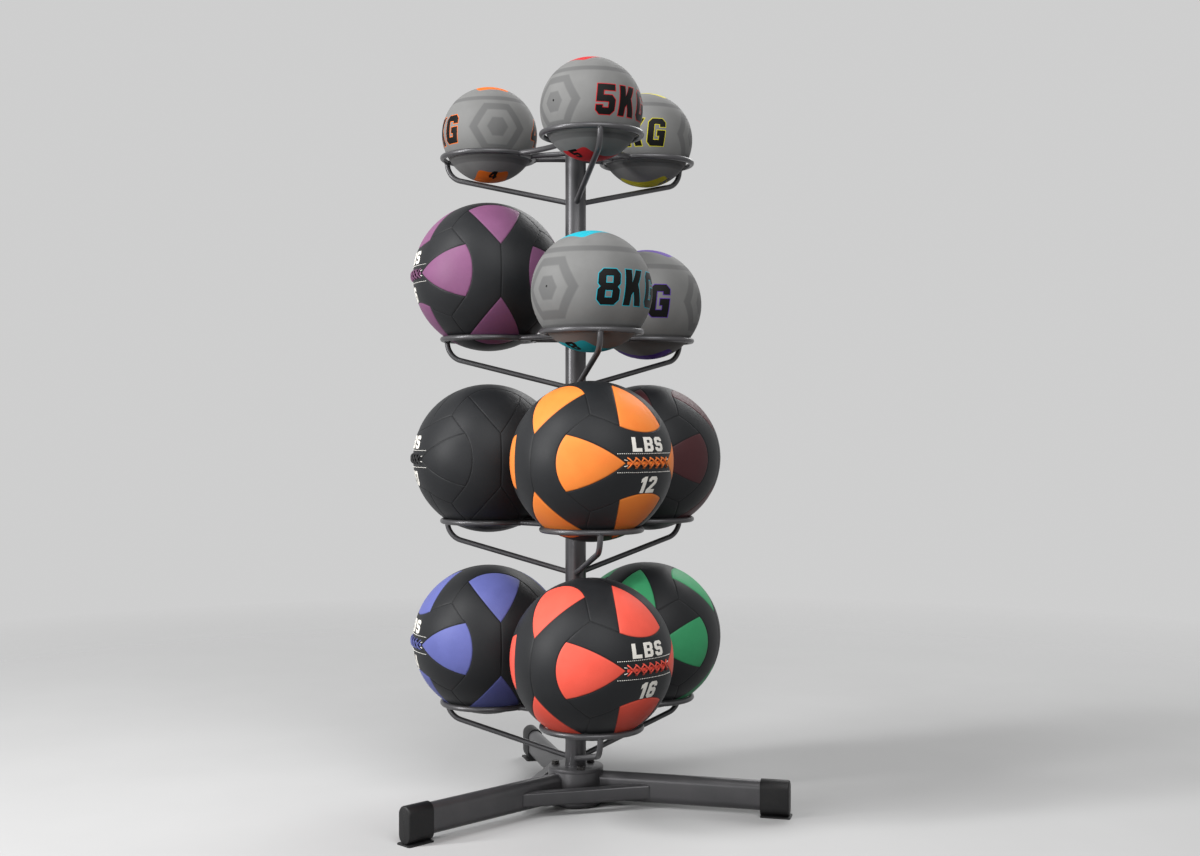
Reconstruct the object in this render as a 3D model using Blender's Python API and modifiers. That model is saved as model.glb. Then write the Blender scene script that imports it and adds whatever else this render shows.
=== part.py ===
"""Exercise ball rack: four tiers of three rings round a column, on a three-legged base.

Lengths are in metres and +Z is up. The rack stands on Z = 0, and the origin is the middle of
its outline on the floor, as the last function sets it. Every piece is drawn pointing to the
front, along -Y, round a column axis at X = Y = 0, and is then turned about that axis by its
azimuth, anticlockwise as seen from above.
"""
import math

import bmesh
import bpy
from mathutils import Matrix, Vector

# Gaps between pieces that touch
WELD_GAP = 0.00035
FIT_GAP = 0.0003
SEAT_GAP = 0.0007

# Arms
ARM_NAMES = ("front", "right", "left")
ARM_AZIMUTH = math.radians(10.0)
ARM_STEP = 2 * math.pi / len(ARM_NAMES)

# Balls, and what each tier holds, from the top
WALL_BALL_RADIUS = 0.1778
LARGE_BALL_RADIUS = 0.132
SMALL_BALL_RADIUS = 0.112
BALL_RADII = {"wall": WALL_BALL_RADIUS, "large": LARGE_BALL_RADIUS, "small": SMALL_BALL_RADIUS}
TIER_BALLS = (
    {"front": "small", "right": "small", "left": "small"},
    {"front": "large", "right": "large", "left": "wall"},
    {"front": "wall", "right": "wall", "left": "wall"},
    {"front": "wall", "right": "wall", "left": "wall"},
)
TIERS = len(TIER_BALLS)
BALL_SPACING = 0.0272       # between two wall balls of one tier
BALL_HEADROOM = 0.028       # over a wall ball, under the next tier's strut

# Rods: rings, struts, links and bars are all bent from one size of bar
ROD_RADIUS = 0.00635
RING_RADIUS = 0.108
STRUT_DROP = 0.1192         # under the ring, where the strut's line meets the column's axis
STRUT_KNEE_DROP = 0.0402    # under the ring, where the strut's two lines meet
STRUT_BEND_RADIUS = 0.046
LINK_INSET = 0.089          # from the column's axis to the middle of a link
LINK_TURN = math.radians(4.5)

# Column
COLUMN_RADIUS = 0.024
COLUMN_WALL = 0.0025
COLUMN_RISE = 0.025         # over the top tier's rings
PLUG_DEPTH = 0.016
PLUG_HEAD = 0.004

# Legs and their braces
LEG_NAMES = ("left", "right", "back")
LEG_AZIMUTH = math.radians(-45.0)
LEG_STEP = 2 * math.pi / len(LEG_NAMES)
LEG_WIDTH = 0.035
LEG_HEIGHT = 0.067
LEG_WALL = 0.0025
LEG_RISE = 0.012            # over the floor
BRACE_OUT = 0.093           # from the column's axis to the brace's centre line
BRACE_DEPTH = 0.024
BRACE_HEIGHT = 0.032
BRACE_WALL = 0.002
BRACE_CORNER = 0.005
BRACE_RISE = 0.0233         # over the floor

# Foot caps
CAP_REACH = 0.4975          # from the column's axis to a cap's end face
CAP_LENGTH = 0.065
CAP_END_WALL = 0.003
CAP_SIDE_WALL = 0.002
CAP_TOP_WALL = 0.0038
PAD_LENGTH = 0.068
PAD_OVERHANG = 0.0033       # of the pad past the cap's end face
PAD_WIDTH = 0.044
PAD_THICKNESS = 0.003

# Hub: a tube as tall as the legs, between two plates that three bolts draw together
HUB_RADIUS = 0.064
HUB_WALL = 0.006
HUB_PLATE_THICKNESS = 0.008
LOWEST_STRUT_RISE = 0.0145  # over the hub, where the lowest strut's line meets the column's axis
BOLT_CIRCLE_RADIUS = 0.0486
BOLT_RADIUS = 0.005
BOLT_HOLE_GAP = 0.0004
BOLT_HEAD_WIDTH = 0.0155    # across the flats
BOLT_HEAD_HEIGHT = 0.0078
BOLT_END_COVER = 0.002      # of the lower plate, under a bolt's end

# Facets
RING_FACETS = 30
ROD_FACETS = 8
ROD_TURN = math.radians(11.0)   # of a rod's facets, so that no two rods' edges lie in one plane
BEND_STEPS = 4
LINK_STEPS = 5
COLUMN_FACETS = 24
HUB_FACETS = 36
BOLT_FACETS = 10
HALF_ROUND_STEPS = 8
CORNER_STEPS = 2
BALL_FACETS = {"wall": 24, "large": 20, "small": 20}
CUTTER_RUN = 0.01           # how far a cutter runs past what it cuts

# Heights that follow
LEG_TOP = LEG_RISE + LEG_HEIGHT
HUB_TOP = LEG_TOP + FIT_GAP + HUB_PLATE_THICKNESS
RACK_REACH = (WALL_BALL_RADIUS + BALL_SPACING / 2) / math.sin(ARM_STEP / 2)
RING_OUTSIDE = RACK_REACH + RING_RADIUS
STRUT_SLOPE = math.atan2(STRUT_DROP - STRUT_KNEE_DROP, RING_OUTSIDE)
LOWEST_RING_HEIGHT = HUB_TOP + LOWEST_STRUT_RISE + STRUT_DROP

RACK = "exercise_ball_rack"
BALL_PAINT = {"wall": "black_vinyl", "large": "grey_rubber", "small": "grey_rubber"}
COLOURS = {
    "frame_paint": ((0.13, 0.13, 0.135), 0.38, 0.85),
    "black_plastic": ((0.02, 0.02, 0.022), 0.45, 0.0),
    "black_steel": ((0.012, 0.012, 0.013), 0.4, 0.6),
    "grey_rubber": ((0.21, 0.21, 0.21), 0.6, 0.0),
    "black_vinyl": ((0.026, 0.03, 0.033), 0.5, 0.0),
}


def clear_scene():
    for old in list(bpy.data.objects):
        bpy.data.objects.remove(old, do_unlink=True)


def collection(name):
    """A collection of that name, made when it's first asked for."""
    found = bpy.data.collections.get(name)
    if found is None:
        found = bpy.data.collections.new(name)
        bpy.context.scene.collection.children.link(found)
    return found


def material(name):
    found = bpy.data.materials.get(name)
    if found is None:
        colour, roughness, metallic = COLOURS[name]
        found = bpy.data.materials.new(name)
        found.use_nodes = True
        shader = found.node_tree.nodes["Principled BSDF"]
        shader.inputs["Base Color"].default_value = (*colour, 1.0)
        shader.inputs["Roughness"].default_value = roughness
        shader.inputs["Metallic"].default_value = metallic
    return found


def file_under(piece, name):
    for held in list(piece.users_collection):
        held.objects.unlink(piece)
    collection(name).objects.link(piece)
    return piece


def keep(piece, paint):
    """A finished piece goes into the rack's collection, painted and shaded smooth."""
    file_under(piece, RACK)
    piece.data.materials.clear()
    piece.data.materials.append(material(paint))
    piece.data.shade_smooth()
    piece.data.set_sharp_from_angle(angle=math.radians(35))
    return piece


def cutter(piece):
    file_under(piece, "cutters")
    piece.hide_render = True
    piece.display_type = "WIRE"
    return piece


def combine(piece, other, operation):
    change = piece.modifiers.new(operation.lower(), "BOOLEAN")
    change.operation = operation
    change.solver = "EXACT"
    change.object = other


def cut(piece, *cutters):
    for other in cutters:
        combine(piece, other, "DIFFERENCE")
    return piece


def place(piece, azimuth=0.0, at=(0.0, 0.0, 0.0)):
    """Turns a piece that points to the front about the column's axis, from its place there."""
    piece.rotation_euler = (0.0, 0.0, azimuth)
    piece.location = Matrix.Rotation(azimuth, 3, "Z") @ Vector(at)
    return piece


def new_object(name, data):
    piece = bpy.data.objects.new(name, data)
    bpy.context.scene.collection.objects.link(piece)
    return piece


def from_bmesh(name, shape):
    mesh = bpy.data.meshes.new(name)
    shape.to_mesh(mesh)
    shape.free()
    return new_object(name, mesh)


def from_curve(curve_piece):
    """The curve's surface as a mesh object of the same name, with its caps welded on."""
    bpy.context.view_layer.update()
    evaluated = curve_piece.evaluated_get(bpy.context.evaluated_depsgraph_get())
    mesh = bpy.data.meshes.new_from_object(evaluated)
    shape = bmesh.new()
    shape.from_mesh(mesh)
    bmesh.ops.remove_doubles(shape, verts=shape.verts, dist=0.00001)
    bmesh.ops.recalc_face_normals(shape, faces=shape.faces)
    shape.to_mesh(mesh)
    shape.free()
    name = curve_piece.name
    curve = curve_piece.data
    bpy.data.objects.remove(curve_piece, do_unlink=True)
    bpy.data.curves.remove(curve)
    return new_object(name, mesh)


def rod(name, points, radius):
    """A round bar along a list of points, its ends capped."""
    curve = bpy.data.curves.new(name, "CURVE")
    curve.dimensions = "3D"
    curve.bevel_depth = radius
    curve.bevel_resolution = (ROD_FACETS - 4) // 2
    curve.use_fill_caps = True
    spline = curve.splines.new("POLY")
    spline.points.add(len(points) - 1)
    for control, point in zip(spline.points, points):
        control.co = (*point, 1.0)
        control.tilt = ROD_TURN
    return from_curve(new_object(name, curve))


def extrusion(name, outlines, inner, outer):
    """Outlines in the XZ plane, given as (x, z) points, drawn out along -Y from inner to outer."""
    curve = bpy.data.curves.new(name, "CURVE")
    curve.dimensions = "2D"
    curve.fill_mode = "BOTH"
    curve.extrude = (outer - inner) / 2
    for outline in outlines:
        spline = curve.splines.new("POLY")
        spline.use_cyclic_u = True
        spline.points.add(len(outline) - 1)
        for control, (x, z) in zip(spline.points, outline):
            control.co = (x, z, 0.0, 1.0)
    piece = from_curve(new_object(name, curve))
    upright = Matrix.Rotation(math.pi / 2, 4, "X")
    middle = Matrix.Translation((0.0, -(outer + inner) / 2, 0.0))
    piece.data.transform(middle @ upright)
    return piece


def arc(centre, radius, start, end, steps):
    return [(centre[0] + radius * math.cos(start + (end - start) * i / steps),
             centre[1] + radius * math.sin(start + (end - start) * i / steps))
            for i in range(steps + 1)]


def obround(width, low, high):
    """An upright outline with straight sides and fully round ends."""
    radius = width / 2
    return (arc((0.0, high - radius), radius, 0.0, math.pi, HALF_ROUND_STEPS)
            + arc((0.0, low + radius), radius, math.pi, 2 * math.pi, HALF_ROUND_STEPS))


def rounded_box(width, low, high, corner):
    right = width / 2 - corner
    quarter = math.pi / 2
    return (arc((right, high - corner), corner, 0.0, quarter, CORNER_STEPS)
            + arc((-right, high - corner), corner, quarter, 2 * quarter, CORNER_STEPS)
            + arc((-right, low + corner), corner, 2 * quarter, 3 * quarter, CORNER_STEPS)
            + arc((right, low + corner), corner, 3 * quarter, 4 * quarter, CORNER_STEPS))


def turned(name, profile, facets, closed=False):
    """A profile of (radius, z) points, listed down its outer side, spun about the Z axis."""
    shape = bmesh.new()
    corners = [shape.verts.new((radius, 0.0, z)) for radius, z in profile]
    for first, second in zip(corners, corners[1:]):
        shape.edges.new((first, second))
    if closed:
        shape.edges.new((corners[-1], corners[0]))
    piece = from_bmesh(name, shape)
    spin = piece.modifiers.new("spin", "SCREW")
    spin.steps = facets
    spin.render_steps = facets
    spin.use_merge_vertices = True
    spin.merge_threshold = 0.00001
    return piece


def cylinder(name, radius, low, high, facets):
    shape = bmesh.new()
    bmesh.ops.create_cone(shape, cap_ends=True, segments=facets, radius1=radius, radius2=radius,
                          depth=high - low, matrix=Matrix.Translation((0.0, 0.0, (low + high) / 2)))
    return from_bmesh(name, shape)


def tube(name, radius, wall, low, high, facets):
    inside = radius - wall
    profile = ((inside, high), (radius, high), (radius, low), (inside, low))
    return turned(name, profile, facets, closed=True)


def ring_height(tier):
    return LOWEST_RING_HEIGHT + (TIERS - tier) * tier_pitch()


def strut_depth(distance):
    """How far the strut's sloped line lies under its ring, at a distance from the column's axis."""
    return STRUT_DROP - distance * math.tan(STRUT_SLOPE)


def seat(radius):
    """Where a ball comes to rest on its arm: its centre's distance from the column, and its rise.

    It lies centred in its ring if it then clears the strut. A smaller ball sinks until the
    strut and the ring's inner side carry it.
    """
    contact = radius + ROD_RADIUS + SEAT_GAP
    rise_squared = contact ** 2 - RING_RADIUS ** 2
    if rise_squared > 0:
        rise = math.sqrt(rise_squared)
        if (rise + strut_depth(RACK_REACH)) * math.cos(STRUT_SLOPE) >= contact:
            return RACK_REACH, rise
    # The rise follows the strut as at + slope * along, and the ring's inner rod is at -ring
    slope = math.tan(STRUT_SLOPE)
    inner = RACK_REACH - RING_RADIUS
    at = contact / math.cos(STRUT_SLOPE) - strut_depth(inner)
    squared = 1 + slope ** 2
    along = (-at * slope + math.sqrt(squared * contact ** 2 - at ** 2)) / squared
    return inner + along, at + slope * along


def tier_pitch():
    """The tiers stand as far apart as a wall ball and the strut over it need."""
    ball_top = seat(WALL_BALL_RADIUS)[1] + WALL_BALL_RADIUS
    return ball_top + BALL_HEADROOM + ROD_RADIUS / math.cos(STRUT_SLOPE) + strut_depth(RACK_REACH)


def ring(name, azimuth, height, radius):
    bpy.ops.mesh.primitive_torus_add(major_segments=RING_FACETS, minor_segments=ROD_FACETS,
                                     major_radius=RING_RADIUS, minor_radius=radius)
    piece = bpy.context.object
    piece.name = name
    piece.data.transform(Matrix.Rotation(math.pi / 2, 4, "Z"))
    return place(piece, azimuth, (0.0, -RACK_REACH, height))


def strut_line():
    """The strut's centre line from its ring's plane: a sloped run, a bend and an upright run."""
    turn = math.pi / 2 - STRUT_SLOPE
    run = min(STRUT_BEND_RADIUS * math.tan(turn / 2), STRUT_KNEE_DROP - ROD_RADIUS / 2)
    radius = run / math.tan(turn / 2)
    centre = (RING_OUTSIDE - radius, -STRUT_KNEE_DROP + run)
    bend = arc(centre, radius, -turn, 0.0, BEND_STEPS)
    return [(0.0, -STRUT_DROP), *bend, (RING_OUTSIDE, 0.0)]


def strut(name, azimuth, height):
    points = [(0.0, -distance, z) for distance, z in strut_line()]
    return place(rod(name, points, ROD_RADIUS), azimuth, (0.0, 0.0, height))


def link_line():
    """A shallow arc between two rings, bowed towards the column, drawn about the front."""
    side = RACK_REACH * math.sin(ARM_STEP / 2) - RING_RADIUS * math.cos(LINK_TURN)
    out = RACK_REACH * math.cos(ARM_STEP / 2) - RING_RADIUS * math.sin(LINK_TURN)
    bow = out - LINK_INSET
    radius = (side ** 2 + bow ** 2) / (2 * bow)
    half_angle = math.asin(side / radius)
    angles = [half_angle * (2 * i / LINK_STEPS - 1) for i in range(LINK_STEPS + 1)]
    return [(radius * math.sin(angle), -(LINK_INSET + radius * (1 - math.cos(angle))), 0.0)
            for angle in angles]


def build_tier(tier, column_cutter):
    """Three rings, each welded to its bar to the column and to its link to the next ring."""
    height = ring_height(tier)
    azimuths = {arm: ARM_AZIMUTH + i * ARM_STEP for i, arm in enumerate(ARM_NAMES)}
    ring_cutters = {}
    for arm, azimuth in azimuths.items():
        grown = ring(f"ring_cutter_t{tier}_{arm}", azimuth, height, ROD_RADIUS + WELD_GAP)
        ring_cutters[arm] = cutter(grown)

    bar_line = [(0.0, 0.0, 0.0), (0.0, RING_RADIUS - RACK_REACH, 0.0)]
    for i, (arm, azimuth) in enumerate(azimuths.items()):
        next_arm = ARM_NAMES[(i + 1) % len(ARM_NAMES)]
        piece = ring(f"ring_t{tier}_{arm}", azimuth, height, ROD_RADIUS)
        bar = rod(f"bar_form_t{tier}_{arm}", bar_line, ROD_RADIUS)
        combine(piece, cutter(place(bar, azimuth, (0.0, 0.0, height))), "UNION")
        link = rod(f"link_form_t{tier}_{arm}", link_line(), ROD_RADIUS)
        combine(piece, cutter(place(link, azimuth + ARM_STEP / 2, (0.0, 0.0, height))), "UNION")
        keep(cut(piece, ring_cutters[next_arm], column_cutter), "frame_paint")
        support = strut(f"strut_t{tier}_{arm}", azimuth, height)
        keep(cut(support, ring_cutters[arm], column_cutter), "frame_paint")


def build_balls(tier):
    """Each ball hangs on an empty on its tilt axis, the tangent at its ring's outermost point."""
    height = ring_height(tier)
    for i, arm in enumerate(ARM_NAMES):
        kind = TIER_BALLS[tier - 1][arm]
        azimuth = ARM_AZIMUTH + i * ARM_STEP
        axis = new_object(f"tilt_axis_t{tier}_{arm}", None)
        place(file_under(axis, RACK), azimuth, (0.0, -RING_OUTSIDE, height))
        shape = bmesh.new()
        bmesh.ops.create_uvsphere(shape, u_segments=BALL_FACETS[kind], v_segments=BALL_FACETS[kind] // 2,
                                  radius=BALL_RADII[kind])
        ball = keep(from_bmesh(f"ball_t{tier}_{arm}", shape), BALL_PAINT[kind])
        distance, rise = seat(BALL_RADII[kind])
        ball.parent = axis
        ball.location = (0.0, RING_OUTSIDE - distance, rise)


def build_column():
    foot = HUB_TOP + FIT_GAP
    top = ring_height(1) + COLUMN_RISE
    column = tube("column", COLUMN_RADIUS, COLUMN_WALL, foot, top, COLUMN_FACETS)
    keep(column, "frame_paint")

    stem = COLUMN_RADIUS - COLUMN_WALL - FIT_GAP
    seat_height = top + FIT_GAP
    rim = PLUG_HEAD / 2
    profile = ((0.0, seat_height + PLUG_HEAD), (COLUMN_RADIUS - rim, seat_height + PLUG_HEAD),
               (COLUMN_RADIUS, seat_height + PLUG_HEAD - rim), (COLUMN_RADIUS, seat_height),
               (stem, seat_height), (stem, top - PLUG_DEPTH), (0.0, top - PLUG_DEPTH))
    keep(turned("column_plug", profile, COLUMN_FACETS), "black_plastic")
    return cutter(cylinder("column_cutter", COLUMN_RADIUS + WELD_GAP, HUB_TOP - CUTTER_RUN,
                           top + CUTTER_RUN, COLUMN_FACETS))


def build_hub():
    """The bolts stand midway between the legs, and end in blind holes in the lower plate."""
    plate_top = LEG_RISE - FIT_GAP
    plate_bottom = plate_top - HUB_PLATE_THICKNESS
    keep(tube("hub_tube", HUB_RADIUS, HUB_WALL, LEG_RISE, LEG_TOP, HUB_FACETS), "frame_paint")
    upper = cylinder("column_flange", HUB_RADIUS, LEG_TOP + FIT_GAP, HUB_TOP, HUB_FACETS)
    lower = cylinder("hub_base_plate", HUB_RADIUS, plate_bottom, plate_top, HUB_FACETS)

    hole_bottom = plate_bottom + BOLT_END_COVER
    head_low = HUB_TOP + FIT_GAP
    head_radius = BOLT_HEAD_WIDTH / 2 / math.cos(math.pi / 6)
    for i, name in enumerate(LEG_NAMES):
        azimuth = LEG_AZIMUTH + (i + 0.5) * LEG_STEP
        at = (0.0, -BOLT_CIRCLE_RADIUS, 0.0)
        hole = cylinder(f"bolt_hole_{name}", BOLT_RADIUS + BOLT_HOLE_GAP, hole_bottom,
                        HUB_TOP + CUTTER_RUN, BOLT_FACETS)
        cutter(place(hole, azimuth, at))
        cut(upper, hole)
        cut(lower, hole)
        bolt = cylinder(f"hub_bolt_{name}", head_radius, head_low, head_low + BOLT_HEAD_HEIGHT, 6)
        shank = cylinder(f"shank_form_{name}", BOLT_RADIUS, hole_bottom + FIT_GAP,
                         head_low + BOLT_HEAD_HEIGHT / 2, BOLT_FACETS)
        combine(place(bolt, azimuth, at), cutter(place(shank, azimuth, at)), "UNION")
        keep(bolt, "black_steel")
    keep(upper, "frame_paint")
    keep(lower, "frame_paint")
    return cutter(cylinder("hub_cutter", HUB_RADIUS + WELD_GAP, -CUTTER_RUN, HUB_TOP, HUB_FACETS))


def leg_solid(name, grow, inner, outer):
    """The leg's outer form, grown all round by a gap, for what it passes through or meets."""
    outline = obround(LEG_WIDTH + 2 * grow, LEG_RISE - grow, LEG_TOP + grow)
    return extrusion(name, [outline], inner, outer)


def build_legs(hub_cutter):
    tube_end = CAP_REACH - CAP_END_WALL - FIT_GAP
    outer = obround(LEG_WIDTH, LEG_RISE, LEG_TOP)
    bore = obround(LEG_WIDTH - 2 * LEG_WALL, LEG_RISE + LEG_WALL, LEG_TOP - LEG_WALL)
    leg_cutters = []
    for i, name in enumerate(LEG_NAMES):
        azimuth = LEG_AZIMUTH + i * LEG_STEP
        leg = place(extrusion(f"leg_{name}", [outer, bore], 0.0, tube_end), azimuth)
        keep(cut(leg, hub_cutter), "frame_paint")
        solid = leg_solid(f"leg_cutter_{name}", WELD_GAP, 0.0, tube_end)
        leg_cutters.append(cutter(place(solid, azimuth)))

    half_length = BRACE_OUT * math.tan(LEG_STEP / 2)
    outer = rounded_box(BRACE_DEPTH, BRACE_RISE, BRACE_RISE + BRACE_HEIGHT, BRACE_CORNER)
    bore = rounded_box(BRACE_DEPTH - 2 * BRACE_WALL, BRACE_RISE + BRACE_WALL,
                       BRACE_RISE + BRACE_HEIGHT - BRACE_WALL, BRACE_CORNER - BRACE_WALL)
    for i, name in enumerate(LEG_NAMES):
        other = (i + 1) % len(LEG_NAMES)
        brace = extrusion(f"brace_{name}_{LEG_NAMES[other]}", [outer, bore], -half_length, half_length)
        brace.data.transform(Matrix.Rotation(math.pi / 2, 4, "Z"))
        place(brace, LEG_AZIMUTH + (i + 0.5) * LEG_STEP, (0.0, -BRACE_OUT, 0.0))
        keep(cut(brace, leg_cutters[i], leg_cutters[other]), "frame_paint")


def build_foot_caps():
    cap_outline = obround(LEG_WIDTH + 2 * CAP_SIDE_WALL, PAD_THICKNESS / 2, LEG_TOP + CAP_TOP_WALL)
    half_pad = PAD_WIDTH / 2
    pad_outline = [(half_pad, 0.0), (half_pad, PAD_THICKNESS), (-half_pad, PAD_THICKNESS), (-half_pad, 0.0)]
    cap_inner = CAP_REACH - CAP_LENGTH
    pad_outer = CAP_REACH + PAD_OVERHANG
    for i, name in enumerate(LEG_NAMES):
        azimuth = LEG_AZIMUTH + i * LEG_STEP
        cap = place(extrusion(f"foot_cap_{name}", [cap_outline], cap_inner, CAP_REACH), azimuth)
        pad = extrusion(f"pad_form_{name}", [pad_outline], pad_outer - PAD_LENGTH, pad_outer)
        pad = cutter(place(pad, azimuth))
        pocket = leg_solid(f"cap_pocket_{name}", FIT_GAP, cap_inner - CUTTER_RUN, CAP_REACH - CAP_END_WALL)
        pocket = cutter(place(pocket, azimuth))
        combine(cap, pad, "UNION")
        keep(cut(cap, pocket), "black_plastic")


def stand_on_origin():
    """Moves the whole rack so that the origin is the middle of its outline, on the floor."""
    bpy.context.view_layer.update()
    depsgraph = bpy.context.evaluated_depsgraph_get()
    points = []
    for piece in collection(RACK).objects:
        if piece.type == "MESH":
            evaluated = piece.evaluated_get(depsgraph)
            points += [evaluated.matrix_world @ vertex.co for vertex in evaluated.data.vertices]
    middle = [(min(p[axis] for p in points) + max(p[axis] for p in points)) / 2 for axis in (0, 1)]

    rack_axis = new_object("column_axis", None)
    for piece in list(bpy.data.objects):
        if piece.parent is None and piece is not rack_axis:
            piece.parent = rack_axis
    rack_axis.location = (-middle[0], -middle[1], 0.0)
    bpy.context.view_layer.update()


def main():
    clear_scene()
    column_cutter = build_column()
    for tier in range(1, TIERS + 1):
        build_tier(tier, column_cutter)
        build_balls(tier)
    build_legs(build_hub())
    build_foot_caps()
    stand_on_origin()


main()
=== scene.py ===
"""Dresses the ball rack: painted and welded steel, moulded caps, laced wall balls and rubber balls."""
from math import acos, asin, atan2, cos, degrees, hypot, pi, radians, sin, sqrt, tan

import bmesh
import bpy
import numpy as np
from mathutils import Matrix, Vector


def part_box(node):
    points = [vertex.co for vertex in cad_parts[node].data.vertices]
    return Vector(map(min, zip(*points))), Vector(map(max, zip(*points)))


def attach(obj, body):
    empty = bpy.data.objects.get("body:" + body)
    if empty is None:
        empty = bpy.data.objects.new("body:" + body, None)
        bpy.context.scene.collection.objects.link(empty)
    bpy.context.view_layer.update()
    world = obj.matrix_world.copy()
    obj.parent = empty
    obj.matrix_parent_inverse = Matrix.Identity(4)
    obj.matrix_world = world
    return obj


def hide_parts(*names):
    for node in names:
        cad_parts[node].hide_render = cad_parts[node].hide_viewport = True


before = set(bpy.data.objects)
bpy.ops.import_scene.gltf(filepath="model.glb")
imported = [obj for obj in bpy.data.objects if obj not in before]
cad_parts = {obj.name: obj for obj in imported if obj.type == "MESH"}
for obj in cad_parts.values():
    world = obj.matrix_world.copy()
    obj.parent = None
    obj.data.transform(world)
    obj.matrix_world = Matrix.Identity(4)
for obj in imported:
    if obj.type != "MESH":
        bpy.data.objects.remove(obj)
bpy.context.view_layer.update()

# Sizes, in metres and degrees

TIERS = (1, 2, 3, 4)  # from the top down
ARMS = {"front": 10.0, "right": 130.0, "left": 250.0}  # anticlockwise from the front
LEGS = {"left": -45.0, "right": 75.0, "back": 195.0}

ROD = 0.00635  # a radius, as RING, COLUMN, WELD and HUB are
ROD_SIDES = 20
RING = 0.108
REACH = 0.22101  # from the column's axis to a ring's middle
RING_OUTSIDE = REACH + RING
LINK_INSET = 0.089  # from the column's axis to a link's nearest point
LINK_TURN = 4.5  # round a ring, to where its link meets it
STRUT_DROP = 0.1192  # from a ring down to where its strut meets the column's axis
KNEE_DROP = 0.0402  # from a ring down to its strut's knee
BEND = 0.046
COLUMN = 0.024
SUNK = 0.002  # how far a bar or plug runs into what it meets
LAP = 0.0004  # how far the drum and the column run into the plates
WELD = 0.0013
WELD_RIPPLE = 0.16
WELD_CREST = 0.0000015  # a square, which holds a bead off the middle of the rod that it meets

HUB = 0.064
HUB_DISCS = {  # each node's piece, its lap at each end, and its low and high rims
    "column_flange": ("hub_top_plate", 0.0, 0.0002, 0.0012),
    "hub_tube": ("hub_drum", LAP, 0.0002, 0.0002),
    "hub_base_plate": ("hub_bottom_plate", 0.0, 0.0012, 0.0002),
}
BOLT_CIRCLE = 0.0486
BOLT_HEAD = 0.0089  # from its middle to its corners
BOLT_FLANGE = (0.0098, 0.0016)
FLANGE_TOP = 0.0012  # where the hex head starts in its flange
LEG_WIDTH = 0.035
LEG_SPAN = (0.012, 0.079)  # from the floor to its bottom and top
LEG_START = 0.055
LEG_END_ROOM = 0.004  # from a leg's end to its cap's end face
HAIR = 0.00001  # what is left of a flat between two full rounds
CAP_REACH = 0.4975  # from the column's axis
CAP_LENGTH = 0.065
CAP_WIDTH = 0.039
CAP_SPAN = (0.0015, 0.0828)
PAD = (0.068, 0.044, 0.003)
PAD_OVERHANG = 0.0033
BRACE_OUT = 0.093  # from the column's axis to a brace's middle line
BRACE_DEPTH = 0.024
BRACE_CORNER = 0.005

BALL_TURN = 34.0  # of a ball's face from its arm, anticlockwise
WALL_BALLS = {
    "ball_t2_left": ("purple", "6"),
    "ball_t3_left": ("black", "20"),
    "ball_t3_front": ("orange", "12"),
    "ball_t3_right": ("maroon", "10"),
    "ball_t4_left": ("blue", "14"),
    "ball_t4_front": ("red", "16"),
    "ball_t4_right": ("green", "18"),
}
RUBBER_BALLS = {
    "ball_t1_front": ("red", "5KG"),
    "ball_t1_right": ("yellow", "6KG"),
    "ball_t1_left": ("orange", "4KG"),
    "ball_t2_front": ("cyan", "8KG"),
    "ball_t2_right": ("violet", "9KG"),
}


def shade(red, green, blue):
    """A colour given by its screen values from 0 to 255."""
    def linear(value):
        value /= 255
        return value / 12.92 if value < 0.04045 else ((value + 0.055) / 1.055) ** 2.4
    return (linear(red), linear(green), linear(blue), 1.0)


# Workshop: placing, selecting, copying

def middle(node):
    low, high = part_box(node)
    return (low + high) / 2


def heights(node):
    return [corner.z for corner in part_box(node)]


def column_foot():
    spot = middle("column")
    spot.z = 0.0
    return spot


def ball_radius(node):
    low, high = heights(node)
    return (high - low) / 2


def ball_azimuth(node):
    return ARMS[node.split("_")[-1]] + BALL_TURN


def turned(angle, axis="Z"):
    return Matrix.Rotation(radians(angle), 4, axis)


def placing(azimuth, at):
    """Takes a piece made with +X outwards and +Z up to its azimuth and place."""
    return Matrix.Translation(at) @ turned(azimuth - 90)


def clear_bench():
    bpy.ops.object.select_all(action="DESELECT")


def named(name):
    """The piece that an operator has just added, under its own name."""
    piece = bpy.context.object
    piece.name = name
    piece.data.name = name
    return piece


def hold(piece):
    clear_bench()
    piece.select_set(True)
    bpy.context.view_layer.objects.active = piece


def open_up(piece):
    hold(piece)
    bpy.ops.object.mode_set(mode="EDIT")
    bpy.ops.mesh.select_all(action="SELECT")


def close_up():
    bpy.ops.object.mode_set(mode="OBJECT")


def seal(piece, distance=0.000001):
    """Merges the points that lie together, and turns the faces outwards."""
    open_up(piece)
    bpy.ops.mesh.remove_doubles(threshold=distance)
    bpy.ops.mesh.normals_make_consistent(inside=False)
    close_up()


def pick(piece, kind, wanted):
    """In edit mode, selects only those elements of one kind that wanted() accepts."""
    bpy.ops.mesh.select_mode(type=kind)
    bpy.ops.mesh.select_all(action="DESELECT")
    mesh = bmesh.from_edit_mesh(piece.data)
    for element in mesh.edges if kind == "EDGE" else mesh.faces:
        if wanted(element):
            element.select_set(True)
    mesh.select_flush_mode()
    bmesh.update_edit_mesh(piece.data)


def work(piece, kind, **settings):
    """Adds a modifier to a piece and applies it."""
    hold(piece)
    modifier = piece.modifiers.new(kind.lower(), kind)
    for name, value in settings.items():
        setattr(modifier, name, value)
    bpy.ops.object.modifier_apply(modifier=modifier.name)


def settle(piece, place=Matrix()):
    """Bakes a piece's place into its mesh, and leaves its object at the origin."""
    bpy.context.view_layer.update()
    piece.data.transform(place @ piece.matrix_world)
    piece.matrix_world = Matrix()
    return piece


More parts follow.
